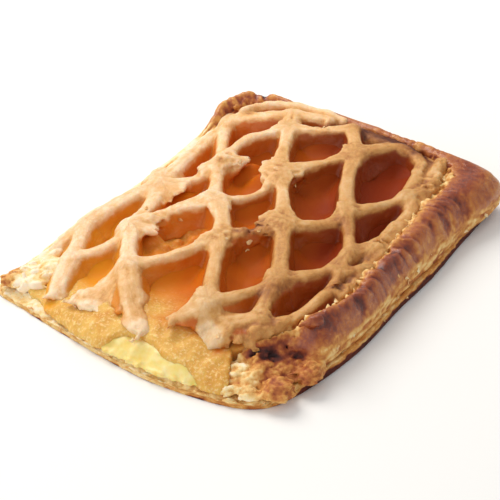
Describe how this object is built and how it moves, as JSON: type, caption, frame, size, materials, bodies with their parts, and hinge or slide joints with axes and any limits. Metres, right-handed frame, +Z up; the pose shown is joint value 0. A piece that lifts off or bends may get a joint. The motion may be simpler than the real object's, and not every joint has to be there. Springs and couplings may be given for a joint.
{
  "type": "apple pie",
  "caption": "Rectangular puff pastry apple pie with a lattice crust, a raised glazed border, and one torn edge that shows the apple and custard filling.",
  "frame": {"origin": "middle of the footprint, on the surface that the pie stands on", "axes": "+Z up, -Y towards the torn edge, +X towards the thick glazed side of the border"},
  "size_m": [0.105, 0.1366, 0.0186],
  "materials": {
    "base_pastry": "layered puff pastry, pale gold with a browned underside",
    "glazed_pastry": "egg-washed puff pastry, baked to a wrinkled brown gloss, pale layers at the side",
    "lattice_pastry": "soft baked dough, cream to golden, satin with flaky splits",
    "apple": "cooked apple in an amber jelly, wet and slightly clear, grainy where torn",
    "custard": "pale yellow custard cream, smooth and moist"
  },
  "bodies": {
    "root": {"base_crust": "base_pastry", "rim_crust": "glazed_pastry", "lattice_crust": "lattice_pastry", "apple_filling": "apple", "custard_cream": "custard"}
  },
  "joints": []
}
